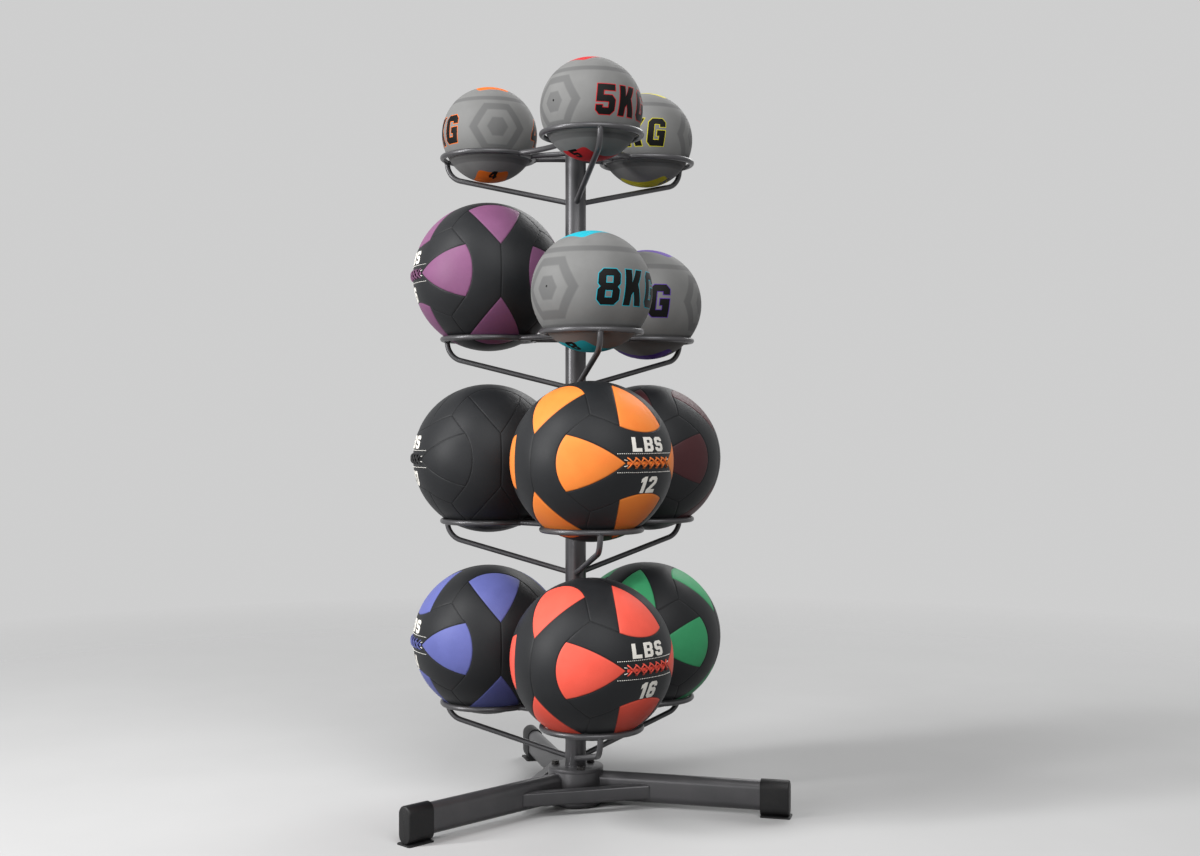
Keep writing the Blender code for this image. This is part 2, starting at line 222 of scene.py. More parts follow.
def smooth(piece, angle=35.0):
    hold(piece)
    bpy.ops.object.shade_smooth_by_angle(angle=radians(angle))


def join(name, pieces):
    clear_bench()
    for piece in pieces:
        piece.select_set(True)
    bpy.context.view_layer.objects.active = pieces[0]
    bpy.ops.object.join()
    return named(name)


def new_object(name, data):
    thing = bpy.data.objects.new(name, data)
    bpy.context.collection.objects.link(thing)
    return thing


def copy_of(piece, name, place):
    twin = new_object(name, piece.data.copy())
    twin.data.transform(place)
    return twin


def drawn(name, lines, closed, swells=(1.0,), **settings):
    """Lines of points drawn as one curve and made a mesh; the swells widen its points in turn."""
    drawing = bpy.data.curves.new(name, "CURVE")
    for setting, value in settings.items():
        setattr(drawing, setting, value)
    for line in lines:
        run = drawing.splines.new("POLY")
        run.points.add(len(line) - 1)
        run.use_cyclic_u = closed
        for i, spot in enumerate(line):
            run.points[i].co = (*spot, 1.0)
            run.points[i].radius = swells[i % len(swells)]
    hold(new_object(name, drawing))
    bpy.ops.object.convert(target="MESH")
    return named(name)


def shape_top(piece, inset, rise):
    """Insets a piece's flat top, and raises or sinks what is inside."""
    open_up(piece)
    pick(piece, "FACE", lambda face: face.normal.z > 0.99)
    bpy.ops.mesh.inset(thickness=inset)
    bpy.ops.transform.translate(value=(0.0, 0.0, rise))
    close_up()


def throw_away(*pieces):
    for piece in pieces:
        bpy.data.objects.remove(piece)


def paint(piece, *finishes):
    """Puts each finish in its slot, so that faces keep the slots that they were given."""
    while len(piece.data.materials) < len(finishes):
        piece.data.materials.append(None)
    for i, finish in enumerate(finishes):
        piece.data.materials[i] = finish


def fit(piece, finishes, body, slot, *nodes):
    """Paints a finished piece, puts it under its body, and hides the CAD nodes that it stands for. The slot
    is not used.
    """
    paint(piece, *finishes)
    if nodes:
        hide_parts(*nodes)
    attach(piece, body)


# Finishes

def math_node(operation, swapped=False):
    """A method that adds a Math node for a signal, alone or with another value."""
    def method(self, *others):
        values = (*others, self) if swapped else (self, *others)
        return self.finish.maths(operation, *values)
    return method


class Signal:
    """A number that varies over a surface; arithmetic on it adds Math nodes."""

    def __init__(self, finish, socket):
        self.finish = finish
        self.socket = socket

    __add__ = __radd__ = math_node("ADD")
    __mul__ = __rmul__ = math_node("MULTIPLY")
    __sub__ = math_node("SUBTRACT")
    __rsub__ = math_node("SUBTRACT", swapped=True)
    __truediv__ = math_node("DIVIDE")
    __rtruediv__ = math_node("DIVIDE", swapped=True)
    __abs__ = math_node("ABSOLUTE")
    power = math_node("POWER")
    most = math_node("MAXIMUM")
    least = math_node("MINIMUM")

    def __neg__(self):
        return self * -1.0

    def clamped(self):
        return self.most(0.0).least(1.0)

    def over(self, edge, softness):
        """0 below the edge and 1 above it, with a soft change."""
        return ((self - edge) / softness + 0.5).clamped()


class Finish:
    """A material, or the world, and its shader; constants are set on the shader's own sockets."""

    def __init__(self, name, kind="materials", shader="Principled BSDF", **constants):
        self.material = getattr(bpy.data, kind).new(name)
        self.material.use_nodes = True
        self.tree = self.material.node_tree
        self.shader = self.tree.nodes[shader]
        for socket, value in constants.items():
            self.set(socket.replace("_", " ").title().replace("Ior", "IOR"), value)

    def node(self, kind, settings=None, inputs=None):
        node = self.tree.nodes.new("ShaderNode" + kind)
        for name, value in (settings or {}).items():
            setattr(node, name, value)
        for name, value in (inputs or {}).items():
            self.feed(node.inputs[name], value)
        return node

    def feed(self, socket, value):
        if isinstance(value, (Signal, bpy.types.NodeSocket)):
            self.tree.links.new(getattr(value, "socket", value), socket)
        else:
            socket.default_value = value

    def set(self, socket, value):
        self.feed(self.shader.inputs[socket], value)

    def maths(self, operation, *values):
        node = self.node("Math", {"operation": operation}, dict(enumerate(values)))
        return Signal(self, node.outputs[0])

    def mix(self, factor, first, second):
        node = self.node("Mix", {"data_type": "RGBA"}, {0: factor, 6: first, 7: second})
        return node.outputs[2]

    def here(self):
        """The point on the surface, in metres."""
        return self.node("TexCoord").outputs["Object"]

    def around(self, centre, turn):
        """The point on the surface from a centre, in axes turned about the vertical."""
        mapping = self.node("Mapping", {"vector_type": "TEXTURE"}, {
            "Vector": self.here(), "Location": tuple(centre), "Rotation": (0.0, 0.0, radians(turn))})
        return mapping.outputs["Vector"]

    def axes(self, vector):
        node = self.node("SeparateXYZ", inputs={0: vector})
        return [Signal(self, socket) for socket in node.outputs]

    def noise(self, size, detail=3.0, roughness=0.5):
        """Clouds whose lumps are about size metres wide."""
        node = self.node("TexNoise", inputs={"Vector": self.here(), "Scale": 1 / size, "Detail": detail,
                                             "Roughness": roughness})
        return Signal(self, node.outputs["Fac"])

    def pebbles(self, size):
        """0 in the middle of each cell of a pebbled grain, rising to its edges."""
        node = self.node("TexVoronoi", {"feature": "SMOOTH_F1"}, {
            "Vector": self.here(), "Scale": 1 / size, "Randomness": 1.0, "Smoothness": 0.35})
        return Signal(self, node.outputs["Distance"])

    def marks(self, name):
        return Signal(self, self.node("Attribute", {"attribute_name": name}).outputs["Fac"])

    def seen(self):
        """1 for the camera, and for what shows in metal or through glass."""
        path = self.node("LightPath").outputs
        seen = Signal(self, path["Is Camera Ray"])
        for kind in ("Is Glossy Ray", "Is Transmission Ray"):
            seen = seen.most(Signal(self, path[kind]))
        return seen

    def relief(self, height, depth, strength):
        """Raises the surface by a height signal times a depth in metres."""
        bump = self.node("Bump", inputs={"Height": height, "Distance": depth, "Strength": strength})
        self.set("Normal", bump.outputs["Normal"])


def powder_coat():
    """Satin gunmetal powder coat: a fine orange peel, faint clouds and dusty flecks."""
    coat = Finish("gunmetal_powder_coat", metallic=0.4, specular_ior_level=0.4)
    clouds = coat.noise(0.07, 4.0)
    flecks = coat.noise(0.0006, 1.0).over(0.62, 0.1)
    peel = coat.noise(0.0014, 2.0)
    tint = coat.mix(clouds.over(0.5, 0.5), shade(72, 72, 74), shade(83, 82, 84))
    coat.set("Base Color", coat.mix(flecks * 0.2, tint, shade(132, 130, 130)))
    coat.set("Roughness", 0.26 + clouds * 0.1 + peel * 0.05)
    coat.relief(peel, 0.00012, 0.6)
    return coat.material


def moulded_plastic():
    """Black moulded plastic with a spark-eroded grain and scuffed patches."""
    plastic = Finish("black_moulded_plastic", specular_ior_level=0.3)
    grain = plastic.noise(0.0009, 2.0)
    scuffs = plastic.noise(0.022, 5.0, 0.7).over(0.58, 0.16)
    plastic.set("Base Color", plastic.mix(scuffs * 0.5, shade(21, 21, 22), shade(38, 37, 37)))
    plastic.set("Roughness", 0.42 + grain * 0.14 + scuffs * 0.12)
    plastic.relief(grain, 0.00016, 0.6)
    return plastic.material


def blackened_steel():
    """Black oxide on the bolts, rubbed a little brighter in places."""
    steel = Finish("blackened_bolt_steel", metallic=0.8)
    rubbed = steel.noise(0.006, 4.0, 0.6).over(0.6, 0.2)
    turning = steel.noise(0.0005, 2.0)
    steel.set("Base Color", steel.mix(rubbed, shade(48, 47, 47), shade(96, 93, 90)))
    steel.set("Roughness", 0.3 + turning * 0.18)
    steel.relief(turning, 0.00006, 0.5)
    return steel.material


def weld_metal():
    """Painted weld beads: the powder coat, a little darker in their ripples."""
    bead = Finish("coated_weld_bead", metallic=0.5)
    burn = bead.noise(0.004, 4.0)
    bead.set("Base Color", bead.mix(burn, shade(54, 54, 57), shade(78, 77, 79)))
    bead.set("Roughness", 0.36 + burn * 0.16)
    bead.relief(burn, 0.0003, 0.5)
    return bead.material


VINYLS = {
    "charcoal": (30, 31, 33),
    "black": (30, 31, 33),
    "purple": (125, 79, 114),
    "orange": (255, 137, 60),
    "maroon": (68, 37, 40),
    "blue": (95, 101, 164),
    "red": (244, 93, 76),
    "green": (64, 158, 106),
}


def toned(colour, by, plus=0.0):
    return shade(*(min(255, value * by + plus) for value in colour))


def vinyl(colour):
    """Grained synthetic leather, with painted shade in the grooves of the seams that the panels are sewn
    along.
    """
    base = VINYLS[colour]
    skin = Finish("vinyl_" + colour, specular_ior_level=0.2)
    grain = skin.pebbles(0.0017)
    creases = skin.noise(0.0042, 4.0, 0.6)
    handling = skin.noise(0.05, 4.0, 0.6)
    tint = skin.mix(handling.over(0.5, 0.5), shade(*base), toned(base, 1.06, 3))
    tint = skin.mix((0.5 - grain) * 0.18, tint, toned(base, 0.7))
    # Painted shade: the colour darkens towards a third of its tone in each seam's groove.
    skin.set("Base Color", skin.mix(skin.marks("seam") * 0.8, tint, toned(base, 0.3)))
    skin.set("Roughness", 0.4 + handling * 0.12 + creases * 0.06)
    skin.relief(creases * 0.5 - grain, 0.00022, 0.55)
    return skin.material


def lace(colour):
    """Braided cord: diagonal plaits along each strand, from its UV map, with painted shade where the plaits
    sink.
    """
    red, green, blue = VINYLS[colour]
    cord = Finish("lace_" + colour)
    length, around, _ = cord.axes(cord.node("UVMap").outputs["UV"])
    plait = (cord.maths("SINE", (length * 60 + around * 2) * pi)
             * cord.maths("SINE", (length * 60 - around * 2) * pi))
    fuzz = cord.noise(0.0008)
    # Painted shade: the plaits' sunken parts darken towards this colour; the fuzz also darkens it at random.
    fuzz_and_plait_shade = shade(red * 0.55, green * 0.5, blue * 0.5)
    cord.set("Base Color", cord.mix((plait * 0.35 + fuzz * 0.5).clamped(), shade(red, green, blue), fuzz_and_plait_shade))
    cord.set("Roughness", 0.66 + fuzz * 0.2)
    cord.relief(fuzz - plait, 0.0002, 0.7)
    return cord.material


def thread():
    """White sewing thread, twisted and a little uneven."""
    cotton = Finish("white_sewing_thread")
    twist = cotton.noise(0.0007)
    cotton.set("Base Color", cotton.mix(twist, shade(250, 248, 242), shade(228, 225, 218)))
    cotton.set("Roughness", 0.68 + twist * 0.2)
    cotton.relief(twist, 0.0002, 0.6)
    return cotton.material


def print_ink(name, colour):
    """Screen print: slightly uneven, over the grain of the skin below it."""
    ink = Finish(name, specular_ior_level=0.12)
    worn = ink.noise(0.0025, 4.0, 0.7).over(0.68, 0.08)
    grain = ink.pebbles(0.0017)
    ink.set("Base Color", ink.mix(worn * 0.45, shade(*colour), toned(colour, 0.72)))
    ink.set("Roughness", 0.5 + worn * 0.2)
    ink.relief(-grain, 0.00014, 0.5)
    return ink.material


ACCENTS = {
    "red": (196, 40, 44),
    "yellow": (206, 196, 40),
    "orange": (228, 112, 34),
    "cyan": (34, 176, 196),
    "violet": (92, 58, 158),
}
BANDS = (39.0, 3.4)  # latitude and half width
HEXAGON = (11.0, 21.0, 30.0)  # reach of the inner one, and of the frame's inside and outside
FACE_EDGE = 0.2  # where a side's hexagons may start, in radii from the middle
POLE_PATCH = (0.33, 0.5)  # half its sizes, in radii


def rubber(node, accent):
    """Moulded grey rubber: two darker bands, hexagon frames on two sides, and coloured poles."""
    skin = Finish("rubber_" + accent, specular_ior_level=0.2)
    spot = skin.around(middle(node), ball_azimuth(node) - 90)
    x, y, z = [part / ball_radius(node) for part in skin.axes(spot)]
    fine = skin.noise(0.0011, 2.0)
    clouds = skin.noise(0.045, 4.0)

    latitude = skin.maths("ARCSINE", z)
    band, half_band = (radians(angle) for angle in BANDS)
    bands = abs(abs(latitude) - band).over(half_band, -0.03)

    across, up = abs(skin.maths("ARCTAN2", x, abs(y))), abs(latitude)
    hexagon = (across * 0.866 + up * 0.5).most(up)
    inner, inside, outside = (radians(angle) for angle in HEXAGON)
    frames = hexagon.over(inside, 0.03) * hexagon.over(outside, -0.03)
    motif = abs(y).over(FACE_EDGE, 0.02) * frames.most(hexagon.over(inner, -0.03))

    dark = bands.most(motif)
    grey = skin.mix(clouds.over(0.5, 0.6), shade(116, 116, 115), shade(127, 127, 126))
    grey = skin.mix(dark * 0.75, grey, shade(96, 96, 96))
    corner = (x / POLE_PATCH[0]).power(8.0) + (y / POLE_PATCH[1]).power(8.0)
    poles = abs(z).over(0.5, 0.1) * corner.over(1.0, -0.15)
    skin.set("Base Color", skin.mix(poles, grey, shade(*ACCENTS[accent])))
    skin.set("Roughness", 0.6 + clouds * 0.12)
    skin.relief(fine * 0.25 - dark, 0.0004, 0.5)
    return skin.material


# Bars, beads and welds

def round_line(name, points, radius, closed=False, ripple=0.0, rings=2):
    """A round strand along a line of points; a ripple swells every second point."""
    strand = drawn(name, [points], closed, (1.0, 1.0 + ripple), dimensions="3D", bevel_depth=radius,
                   bevel_resolution=rings, use_fill_caps=not closed)
    seal(strand)
    bpy.ops.object.shade_smooth()
    return strand


def weld_bead(name, points):
    """A closed bead, rippled as it sets."""
    return round_line(name, points, WELD, True, WELD_RIPPLE, 1)


def rod_weld(at, along, met, column=False):
    """A bead where a rod, running along a unit vector, ends on another rod or on the column.

    The axis of what it ends on passes through at, in the direction met."""
    out = -Vector(along)
    met = Vector(met).normalized()
    side = met.cross(out).normalized() if column else met
    up = out.cross(side).normalized()
    slope = out.dot(met)
    points = []
    for i in range(48):
        turn = 2 * pi * i / 48
        across, rise = ROD * cos(turn), ROD * sin(turn)
        if column:
            reach = (sqrt(COLUMN ** 2 - across ** 2) + rise * slope) / sqrt(1 - slope * slope)
        else:
            reach = sqrt(ROD ** 2 - rise ** 2 + WELD_CREST)
        points.append(Vector(at) + out * reach + side * across + up * rise)
    return weld_bead("rod_weld", points)


def start_rod(name, at, tilt):
    clear_bench()
    bpy.ops.mesh.primitive_circle_add(vertices=ROD_SIDES, radius=ROD, fill_type="NOTHING",
                                      location=at, rotation=tilt)
    rod = settle(named(name))
    open_up(rod)
    return rod


def run_on(offset):
    bpy.ops.mesh.extrude_region_move(TRANSFORM_OT_translate={"value": offset})


def end_rod(rod):
    bpy.ops.mesh.select_all(action="SELECT")
    bpy.ops.mesh.fill_holes(sides=0)
    bpy.ops.mesh.select_all(action="SELECT")
    bpy.ops.mesh.normals_make_consistent(inside=False)
    close_up()
    smooth(rod)
    return rod


def make_cradle():
    """A ring with its bar to the column and its link to the next ring, and their welds."""
    clear_bench()
    bpy.ops.mesh.primitive_torus_add(major_segments=96, minor_segments=ROD_SIDES, major_radius=RING,
                                     minor_radius=ROD, location=(REACH, 0.0, 0.0))
    ring = settle(named("cradle_ring"))
    smooth(ring)

    bar = start_rod("cradle_bar", (COLUMN - SUNK, 0.0, 0.0), (0.0, radians(90), 0.0))
    run_on((REACH - RING - COLUMN + SUNK, 0.0, 0.0))
    end_rod(bar)

    side = REACH * sin(radians(60)) - RING * cos(radians(LINK_TURN))
    out = REACH * cos(radians(60)) - RING * sin(radians(LINK_TURN))
    bow = out - LINK_INSET
    radius = (side ** 2 + bow ** 2) / (2 * bow)
    half = asin(side / radius)
    link = start_rod("cradle_link", (-side, -out, 0.0), (0.0, radians(90), half))
    bpy.ops.mesh.spin(steps=12, angle=2 * half, center=(0.0, -(LINK_INSET + radius), 0.0), axis=(0, 0, 1))
    end_rod(link)
    turn = turned(150)
    settle(link, turn)

    welds = [rod_weld((REACH - RING, 0.0, 0.0), (1, 0, 0), (0, 1, 0)),
             rod_weld((0.0, 0.0, 0.0), (-1, 0, 0), (0, 0, 1), column=True)]
    for sign, azimuth in ((-1, 0), (1, 120)):
        end = turn @ Vector((sign * side, -out, 0.0))
        along = turn @ Vector((sign * cos(half), -sin(half), 0.0))
        ring_middle = turned(azimuth) @ Vector((REACH, 0.0, 0.0))
        welds.append(rod_weld(end, along, (end - ring_middle).cross(Vector((0, 0, 1)))))
    return join("cradle", [ring, bar, link]), join("cradle_welds", welds)


def make_strut():
    """A rod that climbs from the column, bends, and stands up under the ring's outermost point."""
    slope = atan2(STRUT_DROP - KNEE_DROP, RING_OUTSIDE)
    turn = pi / 2 - slope
    run = min(BEND * tan(turn / 2), KNEE_DROP - ROD / 2)
    radius = run / tan(turn / 2)
    start = COLUMN - SUNK
    bend_start = RING_OUTSIDE - run * cos(slope)
    strut = start_rod("strut", (start, 0.0, -STRUT_DROP + start * tan(slope)),
                      (0.0, radians(90) - slope, 0.0))
    run_on((bend_start - start, 0.0, (bend_start - start) * tan(slope)))
    bpy.ops.mesh.spin(steps=12, angle=turn, center=(RING_OUTSIDE - radius, 0.0, run - KNEE_DROP),
                      axis=(0, 1, 0))
    run_on((0.0, 0.0, KNEE_DROP - run - SUNK))
    end_rod(strut)
    welds = [rod_weld((0.0, 0.0, -STRUT_DROP), (-cos(slope), 0.0, -sin(slope)), (0, 0, 1),
                      column=True),
             rod_weld((RING_OUTSIDE, 0.0, 0.0), (0, 0, 1), (0, 1, 0))]
    return strut, join("strut_welds", welds)


# The base

def make_block(name, length, width, low, high, inner):
    """A bar along +X from inner, closed, with its long edges still sharp."""
    clear_bench()
    bpy.ops.mesh.primitive_cube_add(size=1.0, location=(inner + length / 2, 0.0, (low + high) / 2),
                                    scale=(length, width, high - low))
    return settle(named(name))


def runs_along_x(edge):
    start, end = edge.verts
    return abs((end.co - start.co).normalized().x) > 0.999


def is_upright(edge):
    return abs(edge.verts[0].co.z - edge.verts[1].co.z) > 0.0001


def lies_at(axis, distance):
    return lambda edge: all(abs(getattr(vertex.co, axis) - distance) < 0.0001 for vertex in edge.verts)


def round_over(piece, wanted, offset, segments):
    open_up(piece)
    pick(piece, "EDGE", wanted)
    bpy.ops.mesh.bevel(offset=offset, segments=segments, profile=0.5, offset_type="OFFSET")
    close_up()


def make_leg(name):
    """Flat-sided tube, round along its top and bottom."""
    leg = make_block(name, CAP_REACH - LEG_END_ROOM - LEG_START, LEG_WIDTH, *LEG_SPAN, LEG_START)
    round_over(leg, runs_along_x, LEG_WIDTH / 2 - HAIR, 10)
    smooth(leg)
    return leg


def make_cap(name):
    """A moulded cap: a rounded mouth lip, a softly rounded end, and the flat pad under it."""
    inner = CAP_REACH - CAP_LENGTH
    cap = make_block(name, CAP_LENGTH, CAP_WIDTH, *CAP_SPAN, inner)
    round_over(cap, runs_along_x, CAP_WIDTH / 2 - HAIR, 10)
    round_over(cap, lies_at("x", CAP_REACH), offset=0.004, segments=4)
    round_over(cap, lies_at("x", inner), offset=0.001, segments=2)
    smooth(cap)

    length, width, thickness = PAD
    pad = make_block(name + "_pad", length, width, 0.0, thickness, CAP_REACH + PAD_OVERHANG - length)
    round_over(pad, is_upright, offset=0.005, segments=5)
    round_over(pad, lies_at("z", thickness), offset=0.0009, segments=2)
    smooth(pad)
    return join(name, [cap, pad])


def make_cylinder(name, vertices, radius, low, high):
    clear_bench()
    bpy.ops.mesh.primitive_cylinder_add(vertices=vertices, radius=radius, depth=high - low,
                                        location=(0.0, 0.0, (low + high) / 2))
    return settle(named(name))


def make_disc(name, radius, low, high, low_rim, high_rim):
    """A plate turned on a lathe, with both its rims eased."""
    disc = make_cylinder(name, 96, radius, low, high)
    for height, rim in ((low, low_rim), (high, high_rim)):
        round_over(disc, lies_at("z", height), rim, 3)
    smooth(disc)
    return disc


def make_bolt(name, low, high):
    """A flanged hex head with its corners turned off."""
    radius, thickness = BOLT_FLANGE
    flange = make_cylinder(name + "_flange", 36, radius, low, low + thickness)
    round_over(flange, lambda edge: not is_upright(edge), offset=0.0005, segments=2)
    head = make_cylinder(name, 6, BOLT_HEAD, low + FLANGE_TOP, high)
    round_over(head, lies_at("z", high), offset=0.0009, segments=2)
    shape_top(head, inset=0.0028, rise=-0.0005)
    smooth(flange, 30)
    smooth(head, 20)
    return join(name, [head, flange])


def outline(width, height, corner):
    """Points round a rectangle with rounded corners, spaced for a weld bead."""
    points = []
    for quarter, (x, y) in enumerate(((1, 1), (-1, 1), (-1, -1), (1, -1))):
        for k in range(9):
            turn = radians(90 * (quarter + k / 8))
            points.append((x * (width / 2 - corner) + corner * cos(turn),
                           y * (height / 2 - corner) + corner * sin(turn)))
    filled = []
    for (x, y), (next_x, next_y) in zip(points, points[1:] + points[:1]):
        parts = max(1, round(hypot(next_x - x, next_y - y) / 0.002))
        filled += [(x + (next_x - x) * k / parts, y + (next_y - y) * k / parts) for k in range(parts)]
    return filled


def make_base_welds(name, low, high):
    """Beads where a leg meets the hub, and where a brace meets each side of it."""
    height = LEG_SPAN[1] - LEG_SPAN[0]
    ring = [(sqrt(HUB ** 2 - y ** 2), y, z + sum(LEG_SPAN) / 2)
            for y, z in outline(LEG_WIDTH, height, LEG_WIDTH / 2 - 0.0001)]
    beads = [weld_bead(name, ring)]
    inset = LEG_WIDTH / 2 / tan(radians(30))
    for side in (-1, 1):
        ring = [((BRACE_OUT + across) / cos(radians(60)) - inset, side * LEG_WIDTH / 2, z + (low + high) / 2)
                for across, z in outline(BRACE_DEPTH, high - low, BRACE_CORNER)]
        beads.append(weld_bead(name, ring))
    return join(name, beads)


def build_tiers(coat, bead):
    """The cradles, their struts and the welds of both, copied from one set."""
    axis = column_foot()
    cradle, cradle_welds = make_cradle()
    strut, strut_welds = make_strut()
    for tier in TIERS:
        for arm, azimuth in ARMS.items():
            tag = f"t{tier}_{arm}"
            place = placing(azimuth, axis + Vector((0, 0, middle("ring_" + tag).z)))
            for template, name, finish, *nodes in ((cradle, "cradle_", coat, "ring_" + tag),
                                                   (cradle_welds, "cradle_welds_", bead),
                                                   (strut, "support_", coat, "strut_" + tag),
                                                   (strut_welds, "support_welds_", bead)):
                fit(copy_of(template, name + tag, place), [finish], "rack", "frame_paint", *nodes)
    throw_away(cradle, cradle_welds, strut, strut_welds)


def build_column(coat, plastic):
    """The tube, and the plug in its top end, a hair narrower."""
    foot = Matrix.Translation(column_foot())
    low, high = heights("column")
    column = make_disc("column_tube", COLUMN, low - LAP, high, low_rim=0.0002, high_rim=0.0008)
    fit(settle(column, foot), [coat], "rack", "frame_paint", "column")
    plug = make_disc("column_end_plug", COLUMN - 0.0001, high - SUNK, heights("column_plug")[1],
                     low_rim=0.0003, high_rim=0.0017)
    shape_top(plug, inset=0.009, rise=0.0004)
    fit(settle(plug, foot), [plastic], "rack", "black_plastic", "column_plug")


def build_base(coat, bead, plastic, steel):
    """The hub with its bolts, then each leg with its cap, the brace to the next leg and their welds."""
    axis = column_foot()
    for node, (name, lap, *rims) in HUB_DISCS.items():
        low, high = heights(node)
        disc = make_disc(name, HUB, low - lap, high + lap, *rims)
        fit(settle(disc, Matrix.Translation(axis)), [coat], "rack", "frame_paint", node)
    hub_top = heights("column_flange")[1]
    for leg, azimuth in LEGS.items():
        bolt = make_bolt("hub_bolt_head_" + leg, hub_top, heights("hub_bolt_" + leg)[1])
        settle(bolt, placing(azimuth + 60, axis) @ Matrix.Translation((BOLT_CIRCLE, 0.0, 0.0)))
        fit(bolt, [steel], "rack", "black_steel", "hub_bolt_" + leg)

    names = list(LEGS)
    for leg, other in zip(names, names[1:] + names[:1]):
        place = placing(LEGS[leg], axis)
        tube = settle(make_leg("leg_tube_" + leg), place)
        fit(tube, [coat], "rack", "frame_paint", "leg_" + leg)
        cap = settle(make_cap("foot_end_cap_" + leg), place)
        fit(cap, [plastic], "rack", "black_plastic", "foot_cap_" + leg)

        node = f"brace_{leg}_{other}"
        low, high = heights(node)
        half = (BRACE_OUT + BRACE_DEPTH / 2) * tan(radians(60)) - LEG_WIDTH + SUNK
        brace = make_block("brace_tube_" + leg, 2 * half, BRACE_DEPTH, low, high, -half)
        round_over(brace, runs_along_x, BRACE_CORNER, 5)
        smooth(brace)
        settle(brace, placing(LEGS[leg] + 60, axis) @ Matrix.Translation((BRACE_OUT, 0.0, 0.0)) @ turned(90))
        fit(brace, [coat], "rack", "frame_paint", node)
        beads = make_base_welds("base_welds_" + leg, low, high)
        fit(settle(beads, place), [bead], "rack", "frame_paint")

    circle = [2 * pi * i / 72 for i in range(72)]
    weld = weld_bead("column_foot_weld", [(COLUMN * cos(turn), COLUMN * sin(turn), 0.0) for turn in circle])
    settle(weld, Matrix.Translation(axis + Vector((0, 0, hub_top))))
    fit(weld, [bead], "rack", "frame_paint")


# Wall balls: sewn vinyl panels

WALL = 0.1778
SAG_PLANE = 0.15002  # below its middle, where a ball lies on its ring
SAG = 0.985
PATCH = 30  # cells along each side of the patch that the ball is made from
SNAP = 0.001  # how near to a seam a point of the patch moves onto it
SEAM_CUTS = (0.0, 0.0015, -0.0015, 0.0036, -0.0036)
GROOVE = (0.0012, 0.0016)  # depth and half width
PUCKER = (0.0004, 0.008)  # depth and reach of the dip on each side of a groove
TRIPLE_REACH = 0.0135  # from the corner where three seams meet


def unit(*parts):
    return Vector(parts).normalized()


TIP = unit(cos(radians(20.2)), sin(radians(20.2)), 0.0)
SIDE = unit(0.7482, 0.6278, 0.2147)
CORNER_A = unit(0.4380, 0.8320, 0.3400)
TRIPLE = unit(1.0, 1.0, 1.0)


def cycled(point, times):
    """A point turned about the diagonal, each time by a third of a turn."""
    for _ in range(times):
        point = Vector((point.z, point.x, point.y))
    return point


class Seam:
    """An arc on the unit sphere from start to end, through a point between them or by the shortest way."""

    def __init__(self, start, end, through=None):
        self.pole = (end - start).cross(through - start) if through else start.cross(end)
        self.pole.normalize()
        self.height = self.pole.dot(start)
        if self.height < 0:
            self.pole, self.height = -self.pole, -self.height
        self.start, self.end = start, end
        self.east = (start - self.pole * self.height).normalized()
        self.north = self.pole.cross(self.east)
        if self.end.dot(self.north) < 0:
            self.north = -self.north
        self.span = atan2(self.end.dot(self.north), self.end.dot(self.east))

    def distance(self, points):
        """From unit vectors to the arc, in metres on the ball."""
        points = np.asarray(points)
        turn = np.arctan2(points @ np.array(self.north), points @ np.array(self.east))
        off = np.abs(np.arccos(np.clip(points @ np.array(self.pole), -1, 1)) - acos(self.height))
        ends = np.minimum(*(np.arccos(np.clip(points @ np.array(end), -1, 1))
                            for end in (self.start, self.end)))
        return WALL * np.where((turn >= 0) & (turn <= self.span), off, ends)


CORNER_C = cycled(CORNER_A, 2)
PANEL_SIDE = Seam(TIP, CORNER_A, SIDE)
UPPER_SIDE = Seam(cycled(TIP, 2), CORNER_C, cycled(SIDE, 2))
UPPER_BASE = Seam(Vector((CORNER_C.x, -CORNER_C.y, CORNER_C.z)), CORNER_C, unit(0.9304, 0.0, 0.3665))
MID_SEAM = Seam(Vector((1.0, 0.0, 0.0)), TIP)
TRIPLE_SEAMS = [Seam(cycled(CORNER_A, times), TRIPLE) for times in (2, 0, 1)]
SEAMS = [MID_SEAM, PANEL_SIDE, UPPER_SIDE, UPPER_BASE, *TRIPLE_SEAMS]
IN_LOW_PANEL = Vector((cos(0.7), sin(0.7), 0.0))
LOW_PANEL_TOP = SIDE.z + 0.2
IN_HIGH_PANEL = unit(0.55, 0.1, 0.8)


def on_border(point):
    x, y, z = point
    return min(abs(y), abs(z), abs(x - y), abs(x - z)) < 1e-6


def same_side(seam, point, sample):
    return (seam.pole.dot(point) - seam.height) * (seam.pole.dot(sample) - seam.height) > 0


def in_coloured_panel(point):
    low = same_side(PANEL_SIDE, point, IN_LOW_PANEL) and point.z < LOW_PANEL_TOP
    high = all(same_side(seam, point, IN_HIGH_PANEL) for seam in (UPPER_BASE, UPPER_SIDE))
    return low or high


def beside(seam, point):
    """Whether a seam's cuts reach this point; those of the three that meet go round their corner."""
    if seam in TRIPLE_SEAMS and WALL * (point - TRIPLE).length < TRIPLE_REACH:
        return True
    return seam.distance([point])[0] < PUCKER[1]


